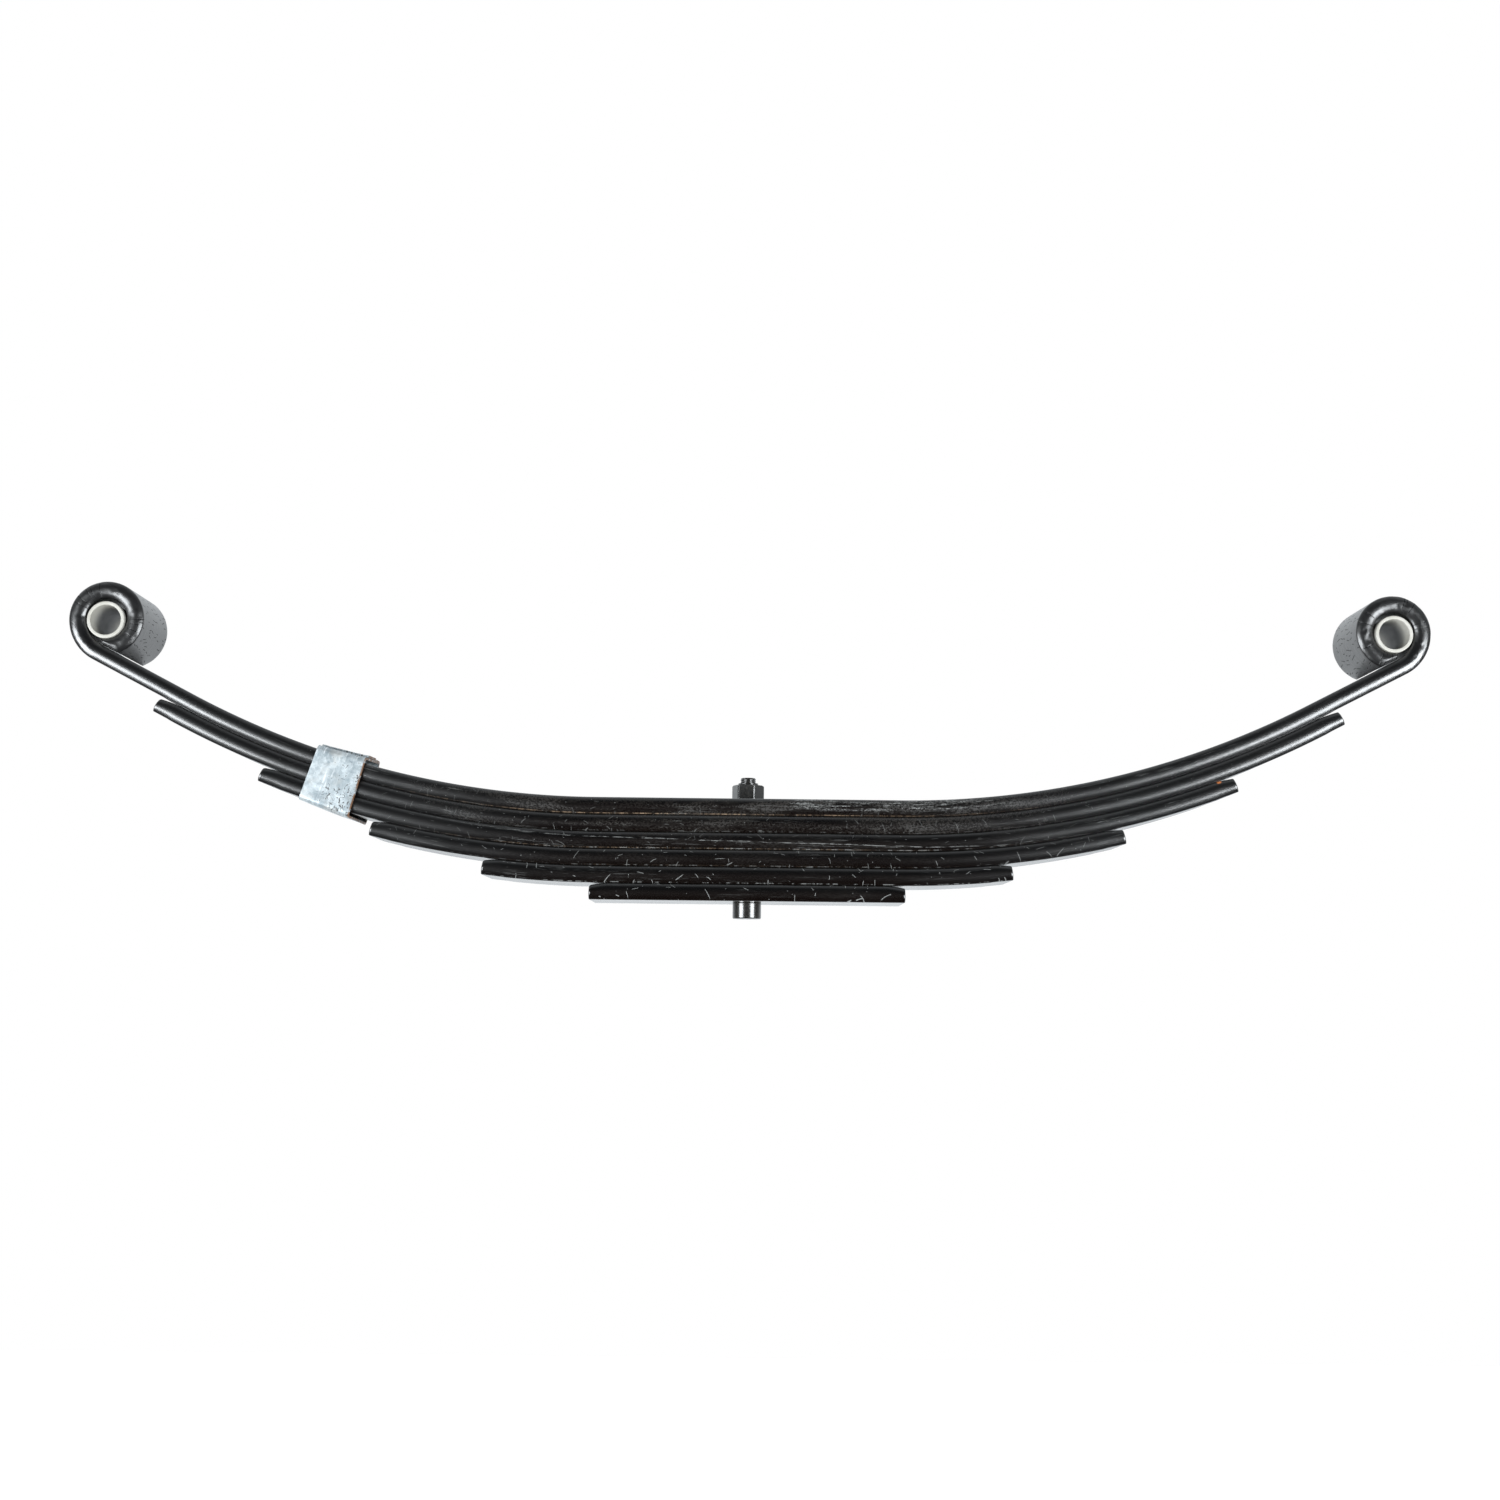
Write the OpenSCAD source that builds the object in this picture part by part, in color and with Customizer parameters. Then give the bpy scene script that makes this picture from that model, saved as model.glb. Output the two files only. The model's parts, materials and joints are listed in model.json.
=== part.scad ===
// Double-eye leaf spring for a light trailer axle.
// Six leaves lie on each other and a centre bolt holds them. The longest, the main leaf,
// is rolled into an eye at each end, and each eye holds a thin plastic bushing.
// A bent strap clips the three longest leaves together on the left arm.
//
// Origin: on the centre bolt's axis, in the plane of the sixth leaf's underside, where the
// axle's seat meets it. +X runs along the spring, +Y across it, +Z up towards the eyes.
// Millimetres.

/* [Leaves] */
// Distance between the centres of the two eyes
eye_to_eye = 641.35; // [630:0.05:660]
// Width of every leaf
leaf_w = 44.45; // [40:0.05:64]
// Thickness of every leaf
leaf_t = 8.3; // [7.5:0.1:9]
// Gap that paint and scale leave between two leaves
leaf_gap = 0.15; // [0.05:0.05:0.4]
// Radius of the bar's round edges as a share of its thickness
edge_share = 0.75; // [0.6:0.05:1]
// Half length of the stretch that stays flat under the axle clamp
flat_half = 75; // [60:1:76]
// Bend radius of the main leaf's upper face along each arm
bend_r = 437; // [420:1:450]
// Slope of the straight stretch that leads up to each eye, in degrees
arm_slope = 27.4; // [26:0.1:28]

/* [Leaf ends] */
// Reach of the second leaf from the centre bolt to the end of its underside
second_reach = 295.6; // [290:0.1:300]
// Reach of the third leaf
third_reach = 242.3; // [230:0.1:260]
// Reach of the fourth leaf
fourth_reach = 186.6; // [170:0.1:220]
// Reach of the fifth leaf
fifth_reach = 130.9; // [110:0.1:160]
// Reach of the sixth leaf, which is flat
sixth_reach = 77.7; // [60:0.1:90]
// Depth by which shearing drags down the upper face at a leaf's end
relief_depth = 1.3; // [0.5:0.1:2]
// Length of that dragged-down slope
relief_length = 9; // [5:1:15]

/* [Eyes] */
// Inner radius of the rolled eye
eye_bore_r = 10.3; // [9.6:0.1:10.5]
// Height of the eye's centre above the arm's upper face, square to the arm
eye_lift = 12.8; // [12.5:0.1:13.5]
// Outer radius of the wide bend that leads from the arm into the eye
lead_r = 23.4; // [22.5:0.1:25]
// Direction from the eye's centre at which the roll ends, in degrees from the arm
roll_end = 250; // [235:1:255]
// Gap between the roll's end and the arm's upper face
roll_gap = 0.4; // [0.2:0.1:1]

/* [Bushings] */
// Inner radius of the bushing, for a 9/16 inch shackle bolt
bushing_bore_r = 7.6; // [7.2:0.1:8]
// Outer radius of the bushing
bushing_r = 9.3; // [8.6:0.1:9.5]
// Length of the bushing
bushing_len = 44.4; // [40:0.1:64]

/* [Centre bolt] */
// Radius of the centre bolt's shank
bolt_r = 4.76; // [4:0.01:4.8]
// Radius of the hole punched through each leaf
hole_r = 5.2; // [5:0.1:6]
// Radius of the bolt's cylindrical head
head_r = 7.14; // [6:0.01:7.3]
// Height of the head below the sixth leaf
head_h = 8; // [6:0.1:10]
// Width of the nut across its flats
nut_flats = 14.29; // [13:0.01:15]
// Height of the nut
nut_h = 8.4; // [7:0.1:10]
// Length of full thread that shows above the nut
thread_end = 1.1; // [0.5:0.1:3]
// Length of the turned-down point above the thread
point_len = 2.7; // [1:0.1:5]
// Radius of the turned-down point
point_r = 3.85; // [3:0.05:4.2]

/* [Rebound clip] */
// Angle round the left arm's bend at which the clip's middle sits, in degrees
clip_angle = 16.75; // [14:0.05:19]
// Width of the clip along the arm
clip_w = 25.4; // [20:0.1:32]
// Thickness of the clip's sheet
clip_t = 1.1; // [1:0.1:1.5]
// Length of the front tab folded over the main leaf, from the clip's outer side
front_tab = 33; // [25:1:36]
// Length of the rear tab folded over the front one, from the clip's outer side
rear_tab = 39; // [30:1:42]
// Width of the rear tab along the arm
rear_tab_w = 10.8; // [8:0.1:14]
// Distance from the clip's inner end to the rear tab
rear_tab_start = 2.5; // [1:0.1:5]
// Gap between the main leaf and the front tab
tab_gap = 0.8; // [0.2:0.1:1]
// Clearance between the clip and the leaves' edges and underside
clip_clear = 0.25; // [0.1:0.05:0.5]

/* [Hidden] */
$fn = 96;

paint_black = [0.07, 0.07, 0.075];
zinc_grey = [0.66, 0.66, 0.64];
nylon_white = [0.88, 0.87, 0.81];

leaf_count = 6;
pitch = leaf_t + leaf_gap;
stack_h = leaf_count * leaf_t + (leaf_count - 1) * leaf_gap;
bend_centre_z = stack_h + bend_r;
edge_r = edge_share * leaf_t;
edge_bulge = edge_r - sqrt(edge_r * edge_r - leaf_t * leaf_t / 4);

// The eye's centre, from the arm's end of bend along its straight stretch.
eye_x = eye_to_eye / 2;
eye_outer_r = eye_bore_r + leaf_t;
bend_end_x = flat_half + bend_r * sin(arm_slope);
bend_end_z = bend_centre_z - bend_r * cos(arm_slope);
arm_len = (eye_x - bend_end_x + eye_lift * sin(arm_slope)) / cos(arm_slope);
eye_z = bend_end_z + arm_len * sin(arm_slope) + eye_lift * cos(arm_slope);

// Each bushing lies on the bottom of its eye's wider bore, with paint between the two.
bushing_paint = 0.1;
bushing_z = eye_z - (eye_bore_r - bushing_r - bushing_paint);

// The lead bend touches the arm's underside and, from outside, the eye's outer circle.
under_arm = eye_lift + leaf_t;
lead_v = lead_r - under_arm;
lead_u = -sqrt(pow(lead_r - eye_outer_r, 2) - lead_v * lead_v);
lead_end = atan2(-lead_v, -lead_u);

// A stretch of bar that starts inside its neighbour is thinner by this much on each side,
// and reaches into it by this much, so that the two join at a clean face.
join_step = 0.02;
join_reach = 0.5;
join_angle = join_reach / eye_bore_r * 180 / PI;

// Shallow seats that the punch leaves round the hole, where the head and the nut lie.
seat_depth = 0.1;
seat_margin = 0.4;
head_seat_r = head_r + seat_margin;
nut_corner_r = nut_flats / 2 / cos(30);
nut_seat_r = nut_corner_r + seat_margin;
nut_turn = -8;
thread_clear = 0.06;
head_chamfer = 0.6;
nut_chamfer = 1;
// The cone that rounds the nut's corners runs from just outside them to just inside its flats.
nut_cone_margin = 0.2;

clip_corner_r = clip_t + 1.4;
clip_half_w = leaf_w / 2 + clip_clear;
clip_mid_r = bend_r + 1.5 * pitch;
clip_far_r = bend_r + 3 * leaf_t + 2 * leaf_gap + clip_clear;
fold_gap = 0.2;
front_near_r = bend_r - tab_gap;
rear_near_r = front_near_r - clip_t - fold_gap;

// Section of the round-edge bar: thickness along x, width along y. It is a thicker bar
// with fully round edges, cut down to the leaf's thickness.
module bar_section(thinner) {
    intersection() {
        square([leaf_t - 2 * thinner, leaf_w], center = true);
        union() {
            square([2 * edge_r, leaf_w - 2 * edge_r], center = true);
            for (side = [-1, 1])
                translate([0, side * (leaf_w / 2 - edge_r)]) circle(edge_r - thinner);
        }
    }
}

// Straight stretch of bar along +X, with its upper face at z = 0.
module straight(length, thinner = 0) {
    translate([0, 0, -leaf_t / 2])
        rotate([0, 90, 0])
            linear_extrude(length)
                bar_section(thinner);
}

// Bar bent about the Y axis through the origin, between two directions in the XZ plane.
module bent(inner_r, from, to, thinner = 0) {
    rotate([90, 0, 0])
        rotate([0, 0, from])
            rotate_extrude(angle = to - from)
                translate([inner_r + leaf_t / 2, 0])
                    bar_section(thinner);
}

module centre_hole() {
    translate([0, 0, -1]) cylinder(r = hole_r, h = stack_h + 2);
}

// Places its children at the arm's upper face where an arc of a given radius and angle
// ends, turned so that +X runs on along the arm.
module at_arc_end(inner_r, angle) {
    translate([flat_half + inner_r * sin(angle), 0, bend_centre_z - inner_r * cos(angle)])
        rotate([0, -angle, 0])
            children();
}

// Block that cuts the dragged-down slope at a leaf's end, whose upper edge is the origin.
module end_relief() {
    translate([-relief_length, -leaf_w, 0])
        rotate([0, atan(relief_depth / relief_length), 0])
            cube([2 * relief_length, 2 * leaf_w, leaf_t]);
}

// Right-hand arm of a shorter leaf: the bend, then a straight end if it reaches past it.
module short_arm(inner_r, reach) {
    outer_r = inner_r + leaf_t;
    bend = min(arm_slope, asin((reach - flat_half) / outer_r));
    run = max(0, (reach - flat_half - outer_r * sin(arm_slope)) / cos(arm_slope));
    difference() {
        union() {
            translate([flat_half, 0, bend_centre_z]) bent(inner_r, -90, bend - 90);
            if (run > 0)
                at_arc_end(inner_r, bend)
                    translate([-join_reach, 0, 0])
                        straight(run + join_reach, join_step);
        }
        at_arc_end(inner_r, bend) translate([run, 0, 0]) end_relief();
    }
}

// A shorter leaf, numbered from the top, with both its arms and its centre hole.
module short_leaf(number, reach) {
    inner_r = bend_r + (number - 1) * pitch;
    top = stack_h - (number - 1) * pitch;
    color(paint_black)
        difference() {
            union() {
                translate([-flat_half, 0, top]) straight(2 * flat_half);
                short_arm(inner_r, reach);
                mirror([1, 0, 0]) short_arm(inner_r, reach);
            }
            centre_hole();
        }
}

// Right-hand eye about its own centre, with +X along the arm.
module eye_roll() {
    difference() {
        bent(eye_bore_r, lead_end - join_angle, roll_end, join_step);
        translate([-2 * eye_outer_r, -leaf_w, -2 * eye_outer_r])
            cube([2 * eye_outer_r, 2 * leaf_w, 2 * eye_outer_r - eye_lift + roll_gap]);
    }
}

module main_arm() {
    translate([flat_half, 0, bend_centre_z]) bent(bend_r, -90, arm_slope - 90);
    at_arc_end(bend_r, arm_slope)
        translate([-join_reach, 0, 0])
            straight(arm_len + lead_u + 2 * join_reach, join_step);
    translate([eye_x, 0, eye_z])
        rotate([0, -arm_slope, 0]) {
            translate([lead_u, 0, lead_v]) bent(lead_r - leaf_t, -90, lead_end);
            eye_roll();
        }
}

module main_leaf() {
    color(paint_black)
        difference() {
            union() {
                translate([-flat_half, 0, stack_h]) straight(2 * flat_half);
                main_arm();
                mirror([1, 0, 0]) main_arm();
            }
            centre_hole();
            translate([0, 0, stack_h - seat_depth]) cylinder(r = nut_seat_r, h = leaf_t);
        }
}

module second_leaf() {
    short_leaf(2, second_reach);
}

module third_leaf() {
    short_leaf(3, third_reach);
}

module fourth_leaf() {
    short_leaf(4, fourth_reach);
}

module fifth_leaf() {
    short_leaf(5, fifth_reach);
}

module sixth_leaf() {
    color(paint_black)
        difference() {
            translate([-sixth_reach, 0, leaf_t]) straight(2 * sixth_reach);
            for (side = [0, 1])
                mirror([side, 0, 0]) translate([sixth_reach, 0, leaf_t]) end_relief();
            centre_hole();
            translate([0, 0, seat_depth - leaf_t]) cylinder(r = head_seat_r, h = leaf_t);
        }
}

module bushing(side) {
    color(nylon_white)
        translate([side * eye_x, 0, bushing_z])
            rotate([90, 0, 0])
                difference() {
                    cylinder(r = bushing_r, h = bushing_len, center = true);
                    cylinder(r = bushing_bore_r, h = bushing_len + 2, center = true);
                }
}

module left_bushing() {
    bushing(-1);
}

module right_bushing() {
    bushing(1);
}

module centre_bolt() {
    nut_top = stack_h - seat_depth + nut_h;
    color(paint_black) {
        translate([0, 0, -head_h])
            cylinder(r1 = head_r - head_chamfer, r2 = head_r, h = head_chamfer);
        translate([0, 0, head_chamfer - head_h])
            cylinder(r = head_r, h = head_h - head_chamfer + seat_depth);
        translate([0, 0, seat_depth]) cylinder(r = bolt_r, h = nut_top + thread_end - seat_depth);
        translate([0, 0, nut_top + thread_end]) cylinder(r = point_r, h = point_len);
    }
}

module centre_nut() {
    color(paint_black)
        translate([0, 0, stack_h - seat_depth])
            difference() {
                intersection() {
                    rotate([0, 0, nut_turn]) cylinder(r = nut_corner_r, h = nut_h, $fn = 6);
                    union() {
                        cylinder(r = 2 * nut_corner_r, h = nut_h - nut_chamfer);
                        translate([0, 0, nut_h - nut_chamfer])
                            cylinder(
                                r1 = nut_corner_r + nut_cone_margin,
                                r2 = nut_flats / 2 - nut_cone_margin,
                                h = nut_chamfer
                            );
                    }
                }
                translate([0, 0, -1]) cylinder(r = bolt_r + thread_clear, h = nut_h + 2);
            }
}

// Rectangle with rounded corners, centred across y, from a near side to a far side in x.
module rounded_band(near, far, half_w, corner_r) {
    translate([near + corner_r, -half_w]) square([far - near - 2 * corner_r, 2 * half_w]);
    translate([near, corner_r - half_w]) square([far - near, 2 * (half_w - corner_r)]);
    for (x = [near + corner_r, far - corner_r])
        for (y = [corner_r - half_w, half_w - corner_r])
            translate([x, y]) circle(corner_r);
}

// Closed section of the clip's sheet round three leaves: radius along x, and the near side
// lies on the main leaf. Its front wall is the one at positive y.
module clip_wrap(near, thinner) {
    difference() {
        rounded_band(
            near - clip_t + thinner,
            clip_far_r + clip_t - thinner,
            clip_half_w + clip_t - thinner,
            clip_corner_r
        );
        rounded_band(near + thinner, clip_far_r, clip_half_w + thinner, clip_corner_r - clip_t);
    }
}

// The full-width strap: front tab, front wall, bottom and the lower part of the rear wall.
module strap_section() {
    difference() {
        clip_wrap(front_near_r, 0);
        translate([front_near_r - 2 * clip_t, -clip_half_w - 2 * clip_t])
            square([2 * clip_t + clip_corner_r, 2 * clip_half_w + 3 * clip_t - front_tab]);
    }
}

// The narrow top of the rear wall, with the tab that is folded from it.
module rear_tab_section() {
    start = rear_near_r - 2 * clip_t;
    end = front_near_r + clip_corner_r + join_reach;
    intersection() {
        clip_wrap(rear_near_r, join_step);
        translate([start, -clip_half_w - 2 * clip_t]) square([end - start, rear_tab + clip_t]);
    }
}

// Places a section of the clip on the left arm's bend, from a distance past the clip's
// inner end and over a length along the arm.
module on_clip_bend(from, length) {
    degrees_per_mm = 180 / PI / clip_mid_r;
    translate([-flat_half, 0, bend_centre_z])
        mirror([1, 0, 0])
            rotate([90, 0, 0])
                rotate([0, 0, clip_angle - 90 + (from - clip_w / 2) * degrees_per_mm])
                    rotate_extrude(angle = length * degrees_per_mm)
                        children();
}

module rebound_clip() {
    color(zinc_grey) {
        on_clip_bend(0, clip_w) strap_section();
        on_clip_bend(rear_tab_start, rear_tab_w) rear_tab_section();
    }
}

main_leaf();
second_leaf();
third_leaf();
fourth_leaf();
fifth_leaf();
sixth_leaf();
left_bushing();
right_bushing();
centre_bolt();
centre_nut();
rebound_clip();
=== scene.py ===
"""Looks of the leaf spring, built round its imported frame. Metres, +X along the spring, +Z up."""

import json
import math

import bpy
import numpy as np
from mathutils import Matrix, Vector, noise


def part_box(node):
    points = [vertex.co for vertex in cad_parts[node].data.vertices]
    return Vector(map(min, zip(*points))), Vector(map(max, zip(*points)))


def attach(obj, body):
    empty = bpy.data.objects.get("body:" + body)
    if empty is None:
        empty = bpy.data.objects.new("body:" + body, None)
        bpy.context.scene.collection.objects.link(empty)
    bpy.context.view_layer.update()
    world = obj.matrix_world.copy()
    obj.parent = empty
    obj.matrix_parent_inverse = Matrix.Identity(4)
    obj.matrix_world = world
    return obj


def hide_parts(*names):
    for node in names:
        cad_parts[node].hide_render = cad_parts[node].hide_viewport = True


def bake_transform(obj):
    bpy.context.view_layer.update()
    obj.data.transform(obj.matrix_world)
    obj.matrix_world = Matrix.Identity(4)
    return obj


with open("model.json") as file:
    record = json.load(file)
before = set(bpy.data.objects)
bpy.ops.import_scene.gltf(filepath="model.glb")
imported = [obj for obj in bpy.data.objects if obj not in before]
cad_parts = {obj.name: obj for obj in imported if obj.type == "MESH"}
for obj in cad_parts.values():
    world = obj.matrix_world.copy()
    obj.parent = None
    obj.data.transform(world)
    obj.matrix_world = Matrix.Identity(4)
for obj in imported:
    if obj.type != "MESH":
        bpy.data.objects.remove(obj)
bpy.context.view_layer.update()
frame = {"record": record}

MM = 0.001
LEAVES = ("main_leaf", "second_leaf", "third_leaf", "fourth_leaf", "fifth_leaf", "sixth_leaf")
mounts = {m["name"]: m for m in frame["record"]["mounts"]}

# ---------------------------------------------------------------- sizes from the frame
FLAT_LEAF_LOW, FLAT_LEAF_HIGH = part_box("sixth_leaf")
THICK = FLAT_LEAF_HIGH.z - FLAT_LEAF_LOW.z
WIDTH = FLAT_LEAF_HIGH.y - FLAT_LEAF_LOW.y
STACK_TOP = mounts["clamp_plate_face"]["pos_m"][2]
PITCH = (STACK_TOP - THICK) / (len(LEAVES) - 1)
EYE_X, _, EYE_Z = mounts["right_eye_bore"]["pos_m"]
BUSHING_BORE = mounts["right_eye_bore"]["dims"]["r_mm"] * MM
REACH = {name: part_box(name)[1].x for name in LEAVES}
BUSHING_LOW, BUSHING_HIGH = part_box("right_bushing")
BUSHING_OUTER = (BUSHING_HIGH.x - BUSHING_LOW.x) / 2
BUSHING_HALF = BUSHING_HIGH.y
BOLT_LOW, BOLT_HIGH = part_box("centre_bolt")
NUT_LOW, NUT_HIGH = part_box("centre_nut")
HEAD_RADIUS = mounts["centre_bolt_head"]["dims"]["r_mm"] * MM

# ---------------------------------------------------------------- driving sizes, as in the CAD source
FLAT_HALF = 75 * MM
BEND_RADIUS = 437 * MM
SLOPE = math.radians(27.4)
EDGE_RADIUS = 0.75 * THICK
EDGE_FILLET = 0.9 * MM
RELIEF_DEPTH = 1.3 * MM
RELIEF_LENGTH = 9 * MM
EYE_BORE = 10.3 * MM
EYE_LIFT = 12.8 * MM
LEAD_RADIUS = 23.4 * MM
ROLL_END = math.radians(250)
ROLL_GAP = 0.4 * MM

BEND_CENTRE_Z = STACK_TOP + BEND_RADIUS
EYE_OUTER = EYE_BORE + THICK
LEAD_V = LEAD_RADIUS - EYE_LIFT - THICK
LEAD_U = -math.sqrt((LEAD_RADIUS - EYE_OUTER) ** 2 - LEAD_V**2)
LEAD_END = math.atan2(-LEAD_V, -LEAD_U)
BEND_END_X = FLAT_HALF + BEND_RADIUS * math.sin(SLOPE)
ARM_LENGTH = (EYE_X - BEND_END_X + EYE_LIFT * math.sin(SLOPE)) / math.cos(SLOPE)

# The clip's sheet, as in the CAD source. Along the arm, distances start at its inner end.
CLIP_SHEET = 1.1 * MM
CLIP_WIDTH = 25.4 * MM
CLIP_ANGLE = math.radians(16.75)
CLIP_HALF = WIDTH / 2 + 0.25 * MM
CLIP_DEPTH = 2 * PITCH + THICK + 0.25 * MM
CLIP_MIDDLE = BEND_RADIUS + 1.5 * PITCH
CLIP_BEND = 1.4 * MM + CLIP_SHEET / 2
TAB_GAP = 0.8 * MM
FOLD_GAP = 0.2 * MM
FRONT_TAB = 33 * MM
REAR_TAB = 39 * MM
REAR_TAB_WIDTH = 10.8 * MM
REAR_TAB_START = 2.5 * MM

# The centre bolt and its nut, as in the CAD source.
SHANK_RADIUS = 4.76 * MM
POINT_RADIUS = 3.85 * MM
THREAD_SHOWN = 1.1 * MM
THREAD_PITCH = 1.06 * MM
THICK_PAINT = 0.35 * MM
NUT_FLATS = 14.29 * MM
NUT_TURN = math.radians(-8)

# Paint fills the thin gaps between the leaves.
PAINT_FILL = PITCH - THICK

# Only in the looks: how the clip's sheet departs from a plain bend, and how round corners are.
CLIP_FLARE_ABOVE = 1.0 * MM
CLIP_FLARE_BELOW = 1.4 * MM
TAB_ARCH = 1.4 * MM
SHEET_WAVE = 0.18 * MM
LEFT_CORNER = 1.3 * MM
RIGHT_CORNER = 0.7 * MM
SHEAR_ROUND = 0.5 * MM
NUT_CHAMFER = 0.8 * MM
NUT_CORNER_WEAR = 0.2 * MM

# Stations along a bar: on its arm, on its rolled eye and near its end.
ARM_STEP = 3 * MM
ROLL_STEP = 0.9 * MM
END_LENGTH = 7 * MM


# ---------------------------------------------------------------- shader graphs
class Graph:
    """A material's node tree, with one short method per kind of node. Inputs are sockets or plain values."""

    def __init__(self, name):
        self.material = bpy.data.materials.new(name)
        self.material.use_nodes = True
        self.tree = self.material.node_tree
        self.tree.nodes.clear()

    def node(self, kind, inputs=(), **settings):
        made = self.tree.nodes.new(kind)
        for key, value in settings.items():
            setattr(made, key, value)
        for key, value in dict(inputs).items():
            if isinstance(value, bpy.types.NodeSocket):
                self.tree.links.new(value, made.inputs[key])
            else:
                made.inputs[key].default_value = value
        return made

    def calc(self, operation, *values, clamp=False):
        made = self.node("ShaderNodeMath", enumerate(values), operation=operation, use_clamp=clamp)
        return made.outputs[0]

    def rest(self):
        """The straightened bar's own coordinates: along it, across it and through its thickness."""
        return self.node("ShaderNodeAttribute", attribute_name="rest").outputs["Vector"]

    def split(self, vector):
        return self.node("ShaderNodeSeparateXYZ", {0: vector}).outputs

    def join(self, x, y, z=0.0):
        return self.node("ShaderNodeCombineXYZ", {0: x, 1: y, 2: z}).outputs[0]

    def scaled(self, vector, factors, offset=(0, 0, 0)):
        values = {0: vector, 1: factors, 2: offset}
        return self.node("ShaderNodeVectorMath", values, operation="MULTIPLY_ADD").outputs[0]

    def noise(self, vector, scale, detail=2.0, roughness=0.5, distortion=0.0):
        values = {"Vector": vector, "Scale": scale, "Detail": detail, "Roughness": roughness}
        values["Distortion"] = distortion
        return self.node("ShaderNodeTexNoise", values).outputs["Fac"]

    def band(self, value, low, high, to_low=0.0, to_high=1.0):
        """Runs smoothly from to_low to to_high as value goes from low to high."""
        values = {0: value, 1: low, 2: high, 3: to_low, 4: to_high}
        return self.node("ShaderNodeMapRange", values, interpolation_type="SMOOTHSTEP").outputs[0]

    def mix(self, share, first, second):
        made = self.node("ShaderNodeMix", {0: share, 6: first, 7: second}, data_type="RGBA")
        return made.outputs[2]

    def most(self, *values):
        found = values[0]
        for value in values[1:]:
            found = self.calc("MAXIMUM", found, value)
        return found

    def product(self, *values):
        found = values[0]
        for value in values[1:]:
            found = self.calc("MULTIPLY", found, value)
        return found

    def specks(self, vector, cell, size, keep):
        """Small round specks, one at most in each cell."""
        spots = self.node("ShaderNodeTexVoronoi", {"Vector": vector, "Scale": 1 / cell})
        chance = self.split(spots.outputs["Color"])[0]
        near = self.band(spots.outputs["Distance"], size / cell, 0.4 * size / cell)
        return self.product(near, self.calc("GREATER_THAN", chance, 1 - keep))

    def scratches(self, vector, cell, length, width, keep, turn=math.tau, bow=60.0):
        """Short curved hair scratches in the XY plane of vector, one at most in each cell."""
        placing = {"Vector": vector, "Scale": 1 / cell}
        cells = self.node("ShaderNodeTexVoronoi", placing, voronoi_dimensions="2D")
        ends = {0: vector, 1: cells.outputs["Position"]}
        away = self.node("ShaderNodeVectorMath", ends, operation="SUBTRACT")
        x, y, _ = self.split(away.outputs[0])
        first, second, third = self.split(cells.outputs["Color"])
        angle = self.calc("MULTIPLY", self.calc("SUBTRACT", first, 0.5), turn)
        cosine, sine = self.calc("COSINE", angle), self.calc("SINE", angle)
        along = self.calc("ADD", self.product(x, cosine), self.product(y, sine))
        across = self.calc("SUBTRACT", self.product(y, cosine), self.product(x, sine))
        curve = self.product(self.calc("SUBTRACT", second, 0.5), bow, along, along)
        off_line = self.calc("ABSOLUTE", self.calc("SUBTRACT", across, curve))
        line = self.band(off_line, width, 0.3 * width)
        reach = self.calc("MULTIPLY", length, self.calc("ADD", third, 0.2))
        tips = self.band(self.calc("DIVIDE", self.calc("ABSOLUTE", along), reach), 1.0, 0.6)
        chance = self.calc("FRACT", self.calc("MULTIPLY", self.calc("ADD", first, third), 7.31))
        return self.product(line, tips, self.calc("LESS_THAN", chance, keep))

    def bump(self, height, distance, below=None):
        values = {"Height": height, "Distance": distance, "Strength": 1.0}
        if below is not None:
            values["Normal"] = below
        return self.node("ShaderNodeBump", values).outputs[0]

    def finish(self, **values):
        inputs = {key.replace("_", " "): value for key, value in values.items()}
        shader = self.node("ShaderNodeBsdfPrincipled", inputs)
        output = self.node("ShaderNodeOutputMaterial")
        self.tree.links.new(shader.outputs[0], output.inputs[0])
        return self.material


BLACK = (0.0016, 0.0016, 0.0018, 1)
UMBER = (0.0024, 0.0011, 0.0008, 1)
DUST = (0.0125, 0.0098, 0.0075, 1)
RUST = (0.36, 0.25, 0.16, 1)
CHALK = (0.20, 0.205, 0.20, 1)
ORANGE = (0.55, 0.16, 0.03, 1)
RUST_SPOT = 237 * MM
GLOSS = {"IOR": 1.5, "Coat_Weight": 1.0, "Coat_IOR": 1.7}


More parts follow.
